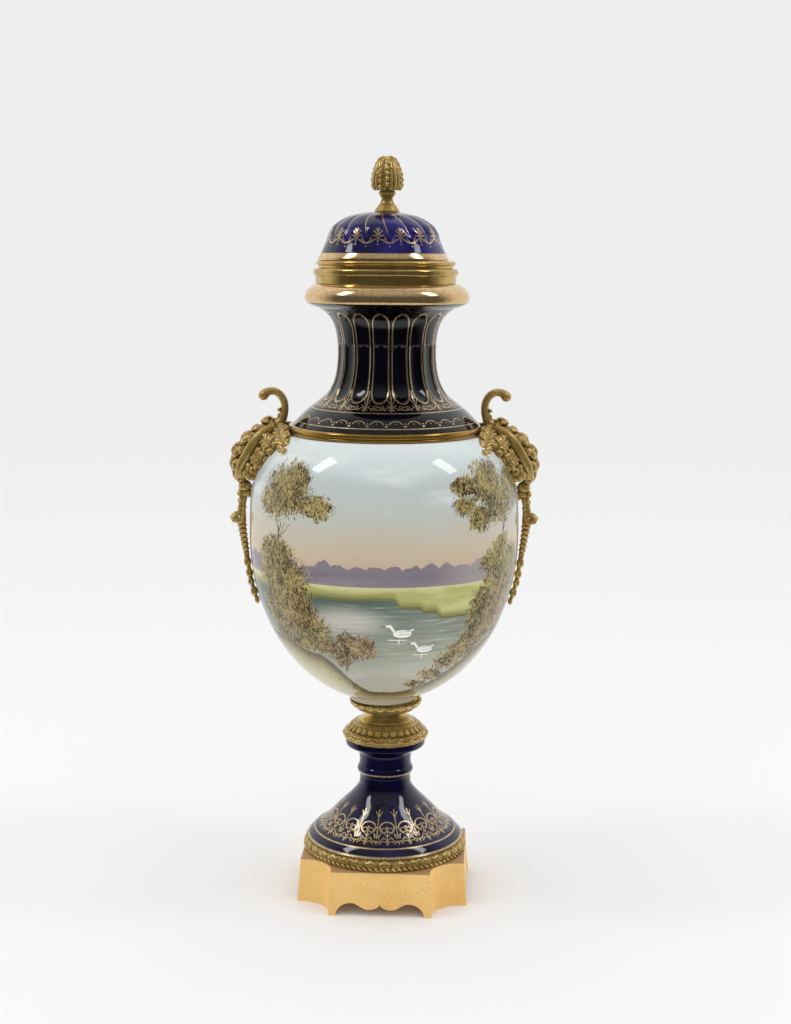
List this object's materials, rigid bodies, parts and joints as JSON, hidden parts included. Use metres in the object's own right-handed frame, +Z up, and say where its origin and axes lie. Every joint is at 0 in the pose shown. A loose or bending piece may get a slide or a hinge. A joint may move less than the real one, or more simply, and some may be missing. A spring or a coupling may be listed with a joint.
{
  "type": "lidded mantel urn",
  "caption": "Painted porcelain urn with a lift-off domed lid, fluted neck, leafy scroll handles, gilt mounts and a square plinth with hollow corners.",
  "frame": {"origin": "on the ground under the middle of the vase body and handles", "axes": "+Z up the urn; -Y is the painted front; the handles stand out along +X and -X"},
  "size_m": [0.234, 0.2034, 0.56],
  "materials": {
    "satin_gilt": "satin gilt brass, slightly pitted",
    "gilt_brass": "polished gilt brass, dark in the hollows",
    "gilt_bronze": "cast gilt bronze, worn bright on the high parts",
    "cobalt_porcelain": "dark cobalt glaze with pale gold line ornament",
    "painted_porcelain": "clear glaze over a painted river landscape"
  },
  "bodies": {
    "root": {"plinth": "satin_gilt", "foot_ring": "gilt_brass", "foot": "cobalt_porcelain", "knop": "gilt_brass", "dish": "gilt_brass", "vase_body": "painted_porcelain", "shoulder_ring": "gilt_brass", "neck": "cobalt_porcelain", "mouth_collar": "gilt_brass", "lid_collar": "gilt_brass", "lid": "cobalt_porcelain", "finial": "gilt_bronze", "handle_right": "gilt_bronze", "handle_left": "gilt_bronze"}
  },
  "joints": []
}
